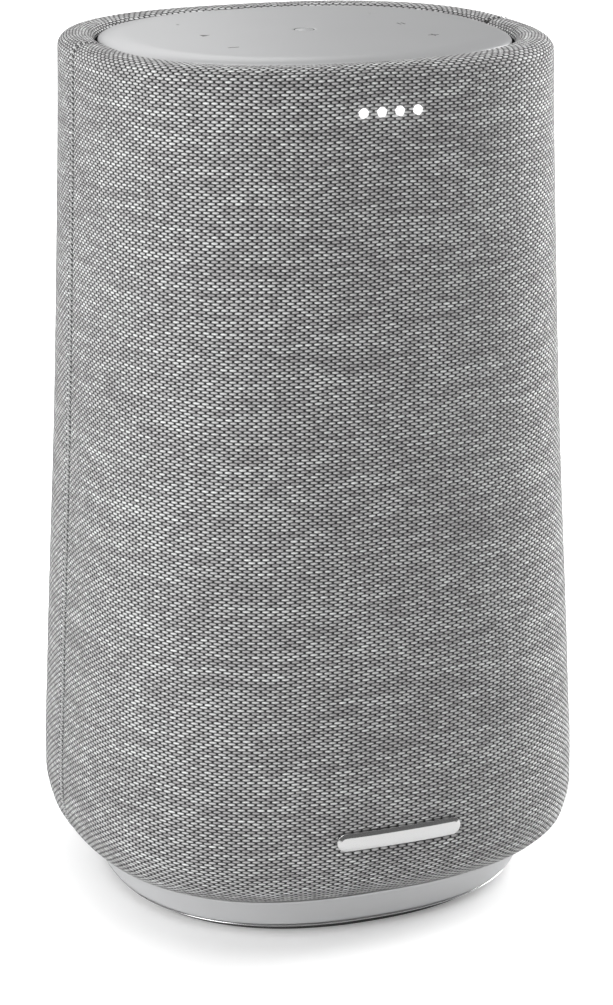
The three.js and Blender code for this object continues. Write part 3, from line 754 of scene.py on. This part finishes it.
def make_camera():
    data = bpy.data.cameras.new("camera")
    data.lens = LENS
    data.sensor_width = SENSOR
    data.shift_x = SHIFT
    camera = bpy.data.objects.new("camera", data)
    camera.location = (
        math.sin(CAMERA_AZIMUTH) * CAMERA_DISTANCE,
        -math.cos(CAMERA_AZIMUTH) * CAMERA_DISTANCE,
        CAMERA_HEIGHT,
    )
    turn = Matrix.Rotation(CAMERA_TURN, 3, "Z")
    tilt = Matrix.Rotation(math.pi / 2 - CAMERA_PITCH, 3, "X")
    camera.rotation_euler = (turn @ tilt @ Matrix.Rotation(CAMERA_ROLL, 3, "Z")).to_euler()
    bpy.context.scene.collection.objects.link(camera)
    bpy.context.scene.camera = camera


make_camera()

# ---- The cloth cover: two panels with a sewn seam at each side ----

CLOTH = 0.9
STEP = 1.1
STITCH = (0.28, 1.25, 0.26)  # half its thickness, length and width
STITCH_PITCH = 1.8 * WEFT_PITCH
STITCH_SLANT = 0.40
SUNK = 0.22  # depth of the stitches' middle under the cloth's face


def cover_profile():
    """The cover's outer face as (inset, z), from the hem over the roll to the lip."""
    hem = [(1.3, 11.95), (0.75, 11.9), (0.3, 12.05), (0.05, 12.4)]
    wall = [(0.0, z) for z in np.arange(12.8, ROLL_START, 0.4)]
    centre = (ROLL_WIDTH, ROLL_START)
    roll = arc(centre, -ROLL_WIDTH, RIM_TOP - ROLL_START, 0, 90, 40)
    lip = [(5.6, 235.97), *arc((6.9, 233.5), 2.1, 2.35, 90, 0, 24)]
    return np.array(hem + wall + roll + lip)


def along_profile(profile, step, finer_ends=False):
    """The profile at even steps, and each point's distance along the cloth."""
    places = np.column_stack([half_width(profile[:, 1]) - profile[:, 0], profile[:, 1]])
    length = np.concatenate([[0], np.cumsum(np.linalg.norm(np.diff(places, axis=0), axis=1))])
    at = np.linspace(0, length[-1], int(length[-1] / step) + 1)
    if finer_ends:
        hem = np.arange(0, 4, step / 3)
        lip = np.arange(length[-1] - 12, length[-1], step / 3)
        at = np.concatenate([hem, at[(at > 4.3) & (at < length[-1] - 12.3)], lip, length[-1:]])
    return np.column_stack([np.interp(at, length, profile[:, k]) for k in (0, 1)]), at


def seam_columns(width):
    """Places across a panel, closer together where it turns into a seam."""
    edge = np.array([0, 0.12, 0.3, 0.55, 0.85, 1.2, 1.6, 2.2, 3.0])
    middle = np.linspace(3.0, width - 3.0, int(width / STEP))[1:-1]
    return np.concatenate([edge, middle, width - edge[::-1]]) / width


def row_normals(points):
    across = np.gradient(points, axis=1)
    up = np.gradient(points, axis=0)
    normal = np.cross(across, up)
    return normal / np.maximum(np.linalg.norm(normal, axis=2, keepdims=True), 1e-9)


def hollow(distance, depth, reach):
    """Depth of a rounded hollow at a distance from its middle or its edge."""
    return depth * np.exp(-((distance / reach) ** 2))


def seam_dip(distance):
    """A sharp groove at the seam, in a shallow wider one."""
    return hollow(distance, 1.15, 0.85) + hollow(distance, 0.22, 2.4)


def badge_dip(points):
    """The cloth is pressed in under and round the badge."""
    x, z = points[..., 0], points[..., 2] - BADGE_Z
    reach = np.hypot(np.maximum(np.abs(x) - (BADGE_LENGTH - BADGE_HEIGHT) / 2, 0), z)
    beyond = np.maximum(reach - (BADGE_HEIGHT / 2 - 0.2), 0)
    return np.where(points[..., 1] < 0, hollow(beyond, 0.55, 0.8), 0)


def window_distance(x, z, grow):
    """Signed distance to the rear window's edge in the XZ plane, negative inside it."""
    radius = PANEL_CORNER + grow
    dx = np.abs(x) - (PANEL_WIDTH / 2 + grow - radius)
    dz = np.abs(z - PANEL_Z) - (PANEL_HEIGHT / 2 + grow - radius)
    outside = np.hypot(np.maximum(dx, 0), np.maximum(dz, 0))
    return outside + np.minimum(np.maximum(dx, dz), 0) - radius


def fit_to_window(points, rear):
    """Moves the nearest points onto the window's edge, and turns the cloth in along it."""
    grow, nudge = 0.35, 0.01
    x, z = points[..., 0], points[..., 2]
    for _ in range(3):
        d = window_distance(x, z, grow)
        right, left = (window_distance(x + n, z, grow) for n in (nudge, -nudge))
        above, below = (window_distance(x, z + n, grow) for n in (nudge, -nudge))
        gx, gz = (right - left) / (2 * nudge), (above - below) / (2 * nudge)
        near = rear & (np.abs(d) < 0.62 * STEP)
        x = np.where(near, x - d * gx, x)
        z = np.where(near, z - d * gz, z)
    moved = points.copy()
    moved[..., 0], moved[..., 2] = x, z
    d = window_distance(x, z, grow)
    turned_in = depth_at(x, z) - hollow(np.maximum(d, 0), 0.95, 0.7)
    close = rear & (d < 4)
    moved[..., 1] = np.where(close, turned_in, moved[..., 1])
    return moved, rear & (d < -0.05)


def cover_panel(name, front):
    profile, along = along_profile(cover_profile(), STEP, finer_ends=True)
    width = panel_width(front)
    columns = seam_columns(width)
    points = np.array([
        outline_row(z, inset, columns, *panel_span(front, z, inset))[0] for inset, z in profile
    ])
    from_edge = np.minimum(columns, 1 - columns) * width
    dip = seam_dip(from_edge)[None, :] + badge_dip(points)
    points = points - row_normals(points) * dip[..., None]
    hidden = np.zeros(points.shape[:2], bool)
    if not front:
        points, hidden = fit_to_window(points, points[..., 1] > 30)
    count = len(columns)
    faces = [
        face for face in grid_faces(len(profile), count)
        if not any(hidden[i // count, i % count] for i in face)
    ]
    cloth = new_object(name, points.reshape(-1, 3), faces)
    uv = np.stack(np.broadcast_arrays(columns[None, :] * width, along[:, None]), axis=-1)
    set_uv(cloth, "weave", uv.reshape(-1, 2) / UV_SCALE)
    with editing(cloth) as work:
        loose = [vertex for vertex in work.verts if not vertex.link_faces]
        bmesh.ops.delete(work, geom=loose, context="VERTS")
    solid = cloth.modifiers.new("thickness", "SOLIDIFY")
    solid.thickness = CLOTH * MM
    solid.offset = -1
    apply_modifiers(cloth)
    cloth.data.shade_smooth()
    return cloth, (width * MM, along[-1] * MM)


def seam_stitches(name, side):
    """Small slanted stitches that cross the seam, a little closer than two rows of weft."""
    profile, _ = along_profile(cover_profile()[6:], STITCH_PITCH)
    profile = profile[: int(0.975 * len(profile))]
    latitude = np.radians(np.linspace(-90, 90, 7))
    longitude = np.radians(np.arange(0, 360, 45))
    unit = np.array([
        (math.cos(lat) * math.cos(lon), math.sin(lat), math.cos(lat) * math.sin(lon))
        for lat in latitude for lon in longitude
    ])
    vertices, faces = [], []
    for inset, z in profile:
        nudge = 0.1
        below, above = (half_width(z + d) - inset for d in (-nudge, nudge))
        slope = 0.0 if inset > 0 else float((above - below) / (2 * nudge))
        shape = unit * STITCH
        shape[:, 2] += shape[:, 1] * STITCH_SLANT
        shape[:, 0] += shape[:, 2] * slope
        centre = (half_width(z) - inset - SUNK, SEAM_Y, z)
        if inset > 0.5:
            lift = min(inset / ROLL_WIDTH, 1)
            centre = (half_width(z) - inset - SUNK * (1 - lift), SEAM_Y, z - SUNK * lift)
        start = len(vertices)
        vertices.extend((side * x, y, z) for x, y, z in shape + np.array(centre, float))
        rings, around = len(latitude), len(longitude)
        faces.extend(
            tuple(start + i for i in face) for face in grid_faces(rings, around, close_columns=True)
        )
    stitches = new_object(name, vertices, faces)
    with editing(stitches) as work:
        bmesh.ops.remove_doubles(work, verts=work.verts, dist=1e-6)
        bmesh.ops.recalc_face_normals(work, faces=work.faces)
    stitches.data.shade_smooth()
    return stitches


cover_front, front_flat = cover_panel("cover_front", True)
cover_rear, rear_flat = cover_panel("cover_rear", False)
finish_piece(cover_front, "fabric_grey", replaces=["fabric_front"], material=LIT_WEAVE)
finish_piece(cover_rear, "fabric_grey", replaces=["fabric_rear"])
seam_thread = thread("seam_thread")
stitching = [
    finish_piece(seam_stitches(name, side), "fabric_grey", material=seam_thread)
    for name, side in (("seam_stitches_left", -1), ("seam_stitches_right", 1))
]

# ---- Touch plate ----


def plate_height(x, y):
    """The plate's top face, very slightly domed."""
    inset = PLATE_INSET + PLATE_SHOULDER
    width, depth = half_width(PLATE_TOP) - inset, half_width(PLATE_TOP) * DEPTH_RATIO - inset
    share = np.hypot(x / width, y / depth)
    return PLATE_TOP - 0.20 * share**2


def touch_plate():
    count = ROUND
    shares = np.arange(count) / count
    turns = np.radians(np.linspace(90, 0, 25))
    edge = np.column_stack([
        PLATE_INSET + PLATE_SHOULDER * (1 - np.cos(turns)),
        PLATE_TOP - 0.2 - PLATE_DROP * (1 - np.sin(turns)),
    ])
    rim, _ = outline_row(PLATE_TOP, edge[0][0], shares, 0, FULL_TURN)
    angle = np.arctan2(rim[:, 1], rim[:, 0])
    hole = np.column_stack([DISC_HOLE * np.cos(angle), DISC_HOLE * np.sin(angle)])
    rows = [np.column_stack([hole, np.full(count, PLATE_TOP - PLATE_THICKNESS)])]
    for share in [0, 0.003, 0.02, 0.06, 0.12, 0.2, 0.3, 0.4, 0.5, 0.6, 0.7, 0.8, 0.9, 0.96]:
        flat = hole + (rim[:, :2] - hole) * share
        height = plate_height(flat[:, 0], flat[:, 1]) - (0.06 if share == 0 else 0)
        rows.append(np.column_stack([flat, height]))
    below = [(0, 232.4), (0.05, 231.3), (0.4, 231.0), (2, 231.0), (2, 233.2), (4, 234.0)]
    for inset, z in [*edge, *[(PLATE_INSET + d, z) for d, z in below]]:
        rows.append(outline_row(z, inset, shares, 0, FULL_TURN)[0])
    faces = grid_faces(len(rows), count, close_rows=True, close_columns=True)
    plate = face_outward(new_object("touch_plate", np.concatenate(rows), faces))
    for side in (-1, 1):
        points = circle((side * MARK_X, MARK_Y), MIC_RADIUS, 24)
        drill = prism("drill", points, 0, 6)
        for vertex in drill.data.vertices:
            x, y, z = vertex.co
            vertex.co = (x, z, y + (PLATE_TOP - 4) * MM)
        face_outward(drill)
        cut(plate, drill)
    return crease(plate, 40)


finish_piece(touch_plate(), "satin_silver", replaces=["top_plate"])


def spun(name, profile, upright, centre, count):
    """A closed ring turned about the Z or Y axis, from a profile of (radius, place along)."""
    turn = FULL_TURN * np.arange(count) / count
    vertices = []
    for radius, along in profile:
        a, b, c = radius * np.cos(turn), radius * np.sin(turn), np.full(count, float(along))
        ring = np.column_stack([a, b, c] if upright else [a, c, b])
        vertices.append(ring + np.array(centre))
    faces = grid_faces(len(profile), count, close_rows=True, close_columns=True)
    return crease(face_outward(new_object(name, np.concatenate(vertices), faces)), 40)


def touch_disc():
    top = PLATE_TOP - 0.03
    flange = [(3.4, 232.6), (3.4, 233.6), (2.5, 233.6)]
    rim = [(2.5, top - 0.12), (2.46, top - 0.04), (2.38, top), (0.02, top)]
    return spun("disc", [*flange, *rim, (0.02, 232.6)], True, (0, 0, 0), 96)


def disc_seal():
    """The thin dark ring between the touch disc and the plate."""
    low, high = PLATE_TOP - 0.7, PLATE_TOP - 0.05
    upper = [(2.78, high - 0.04), (2.72, high), (2.58, high), (2.52, high - 0.04)]
    return spun("disc_seal", [(2.52, low), (2.78, low), *upper], True, (0, 0, 0), 96)


finish_piece(touch_disc(), "satin_silver", replaces=["touch_disc"])
finish_piece(disc_seal(), "rubber_black")


def flat_mark(points):
    """A thin printed shape on the plate, from an outline in the XY plane."""
    low, high = (
        [(x, y, float(plate_height(x, y)) + proud) for x, y in points] for proud in (-0.05, 0.035)
    )
    return face_outward(new_object("mark", low + high, prism_faces(len(points)), smooth=False))


def bar_mark(x, y, length, width, turn=0.0):
    c, s = math.cos(turn), math.sin(turn)
    corners = [(-length, -width), (length, -width), (length, width), (-length, width)]
    return flat_mark([(x + (u * c - v * s) / 2, y + (u * s + v * c) / 2) for u, v in corners])


def touch_marks():
    """Generic marks: minus and plus for the volume, a triangle and a short pair of bars."""
    marks = [
        bar_mark(-MARK_X, -MARK_Y, 3.0, BAR),
        bar_mark(MARK_X, -MARK_Y, 3.0, BAR),
        bar_mark(MARK_X, -MARK_Y, 3.0, BAR, math.pi / 2),
        bar_mark(MARK_X - 0.6, 0, 2.6, BAR, math.pi / 2),
        bar_mark(MARK_X + 0.6, 0, 2.6, BAR, math.pi / 2),
        flat_mark([(-MARK_X - 1.0, -1.3), (-MARK_X + 1.3, 0), (-MARK_X - 1.0, 1.3)]),
    ]
    return join_objects("touch_marks", marks)


finish_piece(touch_marks(), "grey_plastic", material=printed_mark("plate_print"))

# ---- Base ----

POST_X, POST_Y, POST_RADIUS = 28, 26, 4
LEG_X, LEG_YS, LEG_RADIUS = 30, (-32, 12), 3
WEB_BOTTOM, WEB_TOP = 9.6, 11.6
WEB_INSET = 19
CABLE_HOLE_Y, CABLE_HOLE_RADIUS = 34, 9


def upright_cylinder(x, y, radius, low, high, count=24):
    points = circle((x, y), radius, count)
    vertices = [(px, py, low) for px, py in points] + [(px, py, high) for px, py in points]
    return face_outward(new_object("post", vertices, prism_faces(count)))


def base_plinth():
    bottom = BEAD_TOP + 0.08
    outer = [(0.55, bottom), (0.18, bottom + 0.2), (0.0, bottom + 0.6)]
    outer += [(0.0, z) for z in np.linspace(bottom + 1.2, 10.6, 12)]
    outer += [(0.05, 11.1), (0.25, 11.5), (0.7, BASE_TOP)]
    inner = [(20, BASE_TOP), (20, 9.5), (3.2, 9.5), (3.0, 9.3), (3.0, bottom)]
    ring = swept_ring("base_plinth_shell", outer + inner)
    count = 96
    shares = np.arange(count) / count
    rows = [outline_row(z, WEB_INSET, shares, 0, FULL_TURN)[0] for z in (WEB_BOTTOM, WEB_TOP)]
    hole = circle((0, CABLE_HOLE_Y), CABLE_HOLE_RADIUS, count)
    rows += [np.column_stack([hole, np.full(count, z)]) for z in (WEB_TOP, WEB_BOTTOM)]
    web = face_outward(new_object("web", np.concatenate(rows), grid_faces(4, count, True, True)))
    posts = [
        upright_cylinder(x, y, POST_RADIUS, 5.0, WEB_BOTTOM + 0.4)
        for x in (-POST_X, POST_X) for y in (-POST_Y, POST_Y)
    ]
    legs = [
        upright_cylinder(x, y, LEG_RADIUS, WEB_TOP - 0.4, 18.7)
        for x in (-LEG_X, LEG_X) for y in LEG_YS
    ]
    return crease(join_objects("base_ring", [ring, web, *posts, *legs]), 50)


finish_piece(base_plinth(), "base_grey", replaces=["base_plinth"])
BEAD = arc((0.7, 2.6), -0.62, 0.34, -80, 80, 14) + [(2.7, 2.93), (2.7, 2.2)]
FOOT = [
    (9.0, 1.7), (9.0, 0.4), (8.7, 0.1), (8.3, 0.0), (2.9, 0.0), (2.5, 0.1), (2.2, 0.45), (2.2, 1.7),
]
finish_piece(swept_ring("base_bead", BEAD), "polished_metal", replaces=["base_trim_ring"])
finish_piece(
    swept_ring("foot", FOOT), "rubber_black", replaces=["foot_ring"],
    material=rubber("foot_rubber", 0.07),
)

# ---- Badge ----


def on_front(x, z, proud):
    return (x, -(float(depth_at(x, z)) + proud), z)


def badge():
    """A blank polished pill with a bevelled rim, bent to follow the cloth."""
    straight = (BADGE_LENGTH - BADGE_HEIGHT) / 2
    radius = BADGE_HEIGHT / 2
    layers = [(0.0, -1.0), (0.0, 0.35), (0.08, 0.5), (0.95, 0.95), (1.08, 0.99), (1.6, 1.0)]
    bend = 25  # points round each end
    runs = np.linspace(-1, 1, 33)[1:-1]
    path = [(straight, t) for t in np.linspace(-90, 90, bend)]
    path += [(-straight * run, 90) for run in runs]
    path += [(-straight, t) for t in np.linspace(90, 270, bend)]
    path += [(straight * run, -90) for run in runs]
    vertices = []
    for shrink, proud in layers:
        for middle, turn in path:
            t = math.radians(turn)
            x = middle + (radius - shrink) * math.cos(t)
            z = BADGE_Z + (radius - shrink) * math.sin(t)
            vertices.append(on_front(x, z, proud))
    count = len(path)
    faces = grid_faces(len(layers), count, close_columns=True)
    last = (len(layers) - 1) * count
    left = bend + len(runs)  # the first point of the left end
    upper = list(range(bend - 1, left + 1))
    lower = [0, *range(count - 1, count - 1 - len(runs), -1), left + bend - 1]
    for i in range(len(upper) - 1):
        faces.append((last + lower[i], last + lower[i + 1], last + upper[i + 1], last + upper[i]))
    faces.append(tuple(last + i for i in range(bend)))
    faces.append(tuple(last + i for i in range(left, left + bend)))
    faces.append(tuple(range(count - 1, -1, -1)))
    return crease(face_outward(new_object("badge_plate", vertices, faces)), 24)


finish_piece(badge(), "polished_metal", replaces=["badge"])

# ---- Connector panel at the rear ----


def rear_panel():
    """A slightly curved plastic panel with a soft edge and openings for the connectors."""
    columns = np.linspace(-PANEL_WIDTH / 2 - 1, PANEL_WIDTH / 2 + 1, 47)
    heights = np.linspace(PANEL_Z - PANEL_HEIGHT / 2 - 1, PANEL_Z + PANEL_HEIGHT / 2 + 1, 27)
    x, z = np.meshgrid(columns, heights)
    layers = []
    for depth in (PANEL_INSET, PANEL_INSET + 3.0):
        layers.append(np.stack([x, depth_at(x, z) - depth, z], axis=-1).reshape(-1, 3))
    rows, count = x.shape
    size = rows * count
    front = grid_faces(rows, count)
    back = [tuple(size + i for i in reversed(face)) for face in front]
    ring = [r * count for r in range(rows)] + [(rows - 1) * count + c for c in range(1, count)]
    ring += [r * count + count - 1 for r in range(rows - 2, -1, -1)] + list(range(count - 2, 0, -1))
    rim = [(a, b, size + b, size + a) for a, b in zip(ring, ring[1:] + ring[:1])]
    faces = front + back + rim
    panel = face_outward(new_object("connector_panel", np.concatenate(layers), faces, smooth=False))
    edge = rounded_box_outline(PANEL_WIDTH, PANEL_HEIGHT, PANEL_CORNER, 0, PANEL_Z)
    keep = prism("keep", edge, 30, 90)
    cut(panel, keep, operation="INTERSECT")
    inlet = rounded_box_outline(INLET_WIDTH + 0.6, INLET_HEIGHT + 0.6, 3.3, INLET_X, PANEL_Z)
    port = rounded_box_outline(9.6, 4.2, 1.5, BUTTON_X, PORT_Z)
    button = circle((BUTTON_X, BUTTON_Z), BUTTON_RADIUS + 0.4, 48)
    cut(panel, *[prism("cutter", points, 30, 90) for points in (inlet, port, button)])
    soft = panel.modifiers.new("soft", "BEVEL")
    soft.width = 0.35 * MM
    soft.segments = 2
    soft.limit_method = "ANGLE"
    soft.angle_limit = math.radians(50)
    apply_modifiers(panel)
    return crease(panel, 35)


finish_piece(rear_panel(), "black_plastic", replaces=["rear_panel"])

# ---- The woofer's soft suspension, which stretches between the frame and the cone ----

WOOFER_FRONT = -40.3
WOOFER_Z = 104.0


def woofer_ring(name, front, back, slot):
    """A thin turned ring whose rim is at the frame and whose bore is at the cone."""
    place = (0, WOOFER_FRONT, WOOFER_Z)
    ring = spun(name, front + back[::-1], False, place, 96)
    give(ring, MATERIALS[slot])
    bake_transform(ring)
    return ring


def surround():
    crest = arc((33.9, 2.3), 1.9, 2.0, 0, 180, 16)
    over = [(36.0, 4.9), (35.8, 3.6), *crest, (31.7, 2.65), (30.9, 3.05)]
    inside = arc((33.9, 2.4), 1.4, 1.55, 0, 180, 16)
    under = [(35.5, 4.9), (35.35, 3.6), *inside, (31.9, 3.05), (30.95, 3.4)]
    ring = woofer_ring("surround_roll", over, under, "rubber_black")
    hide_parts("woofer_surround")


def spider():
    share = np.linspace(0, 1, 61)
    radius = 11.0 + 15.2 * share
    wave = 0.26 * np.sin(share * 10 * math.pi) * np.minimum(1, 6 * np.minimum(share, 1 - share))
    middle = 17.5 + 1.9 * share + wave
    front, back = ([(r, d + offset) for r, d in zip(radius, middle)] for offset in (-0.2, 0.2))
    ring = woofer_ring("spider_disc", front, back, "amber_cloth")
    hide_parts("woofer_spider")


surround()
spider()

# ---- Stage ----

FLOOR_REACH = 6000


def make_floor():
    signs = ((-1, -1), (1, -1), (1, 1), (-1, 1))
    corners = [(FLOOR_REACH * x, FLOOR_REACH * y, 0) for x, y in signs]
    floor = new_object("floor", corners, [(0, 1, 2, 3)])
    m = Shade("floor_paper")
    x, y, z = m.place()
    tone = m.mix(m.noise(m.vector(x, y, z), scale=0.02), grey(0.90), grey(0.92))
    m.set(Base_Color=tone, Roughness=0.9, Specular_IOR_Level=0.1)
    away = (x * x + y * y * (1 / DEPTH_RATIO**2)).root() - half_width(0)
    # The floor's glow is weakest at the object's footprint and grows outward, so the darker floor
    # round the base is partly a painted shadow.
    floor_glow_with_painted_shadow = away.ramp(0.0, 60.0, 0.20, 0.45) + away.ramp(60.0, 250.0, 0.0, 0.6)
    seen = m.add("ShaderNodeLightPath").outputs["Is Camera Ray"]
    m.set(Emission_Color=WHITE, Emission_Strength=Value(m, seen) * floor_glow_with_painted_shadow)
    give(floor, m.material)


def soft_light(name, place, size, watts, target=(0, 0, 0.12)):
    data = bpy.data.lights.new(name, "AREA")
    data.shape = "RECTANGLE"
    data.size, data.size_y = size
    data.energy = watts
    light = bpy.data.objects.new(name, data)
    light.location = place
    light.rotation_euler = (Vector(target) - Vector(place)).to_track_quat("-Z", "Y").to_euler()
    bpy.context.scene.collection.objects.link(light)


make_floor()
soft_light("key", (-1.39, -0.50, 0.60), (0.9, 1.3), 21)
soft_light("fill", (1.45, 0.22, 0.60), (1.0, 1.3), 40)
soft_light("top", (-0.3, 0.2, 1.5), (1.3, 1.2), 11)
soft_light("back", (-0.3, 1.7, 1.1), (2.2, 1.0), 9)


def studio_world(daylight):
    """A white room that lights the object less than it shows, as a card in front would do."""
    world = bpy.data.worlds.new("studio")
    world.use_nodes = True
    tree = world.node_tree
    background = tree.nodes["Background"]
    background.inputs["Color"].default_value = WHITE
    share = tree.nodes.new("ShaderNodeMapRange")
    path = tree.nodes.new("ShaderNodeLightPath")
    tree.links.new(path.outputs["Is Camera Ray"], share.inputs["Value"])
    share.inputs["To Min"].default_value = daylight
    share.inputs["To Max"].default_value = 1.0
    tree.links.new(share.outputs["Result"], background.inputs["Strength"])
    bpy.context.scene.world = world


studio_world(0.165)
bpy.context.scene.view_settings.view_transform = "Standard"
